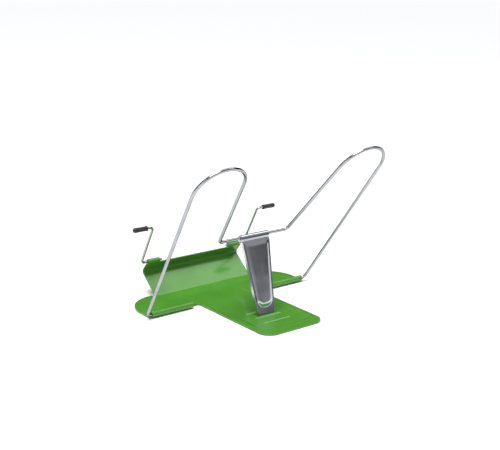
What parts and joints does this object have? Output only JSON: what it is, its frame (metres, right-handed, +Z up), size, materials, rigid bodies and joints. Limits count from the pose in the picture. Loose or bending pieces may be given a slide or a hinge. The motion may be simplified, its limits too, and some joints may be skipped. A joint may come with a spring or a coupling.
{
  "type": "book display stand",
  "caption": "Folding metal book display stand with a green pressed base, chrome wire back frame and hinged prop leg.",
  "frame": {"origin": "underside of the base's channel, on the surface it stands on, below the middle of the back frame's hinge axis", "axes": "+X to the reader's right along the hinge axis, +Y from the reader towards the tongue behind the book, +Z up"},
  "size_m": [0.1956, 0.152, 0.1427],
  "materials": {
    "green_paint": "gloss enamel on pressed steel sheet",
    "chrome_wire": "bright plated wire",
    "chrome_leg": "bright plated stamped sheet",
    "vinyl": "soft black vinyl"
  },
  "bodies": {
    "base": {"base_plate": "green_paint"},
    "frame": {"back_frame": "chrome_wire"},
    "leg": {"prop_leg": "chrome_leg"},
    "arm_right": {"page_arm_right": "chrome_wire", "page_tip_right": "vinyl"},
    "arm_left": {"page_arm_left": "chrome_wire", "page_tip_left": "vinyl"}
  },
  "joints": [
    {"name": "frame_tilt", "type": "hinge", "parent": "base", "child": "frame", "pos_m": [0, 0, 0.0033], "axis": [1, 0, 0], "range_deg": [0, 95]},
    {"name": "leg_swing", "type": "hinge", "parent": "frame", "child": "leg", "pos_m": [0, 0.03086, 0.06478], "axis": [1, 0, 0], "range_deg": [0, 125]},
    {"name": "page_arm_right_swing", "type": "hinge", "parent": "base", "child": "arm_right", "pos_m": [0.044, -0.05439, 0.0288], "axis": [1, 0, 0], "range_deg": [-97, 52]},
    {"name": "page_arm_left_swing", "type": "hinge", "parent": "base", "child": "arm_left", "pos_m": [-0.044, -0.05439, 0.0288], "axis": [1, 0, 0], "range_deg": [-97, 52]}
  ]
}
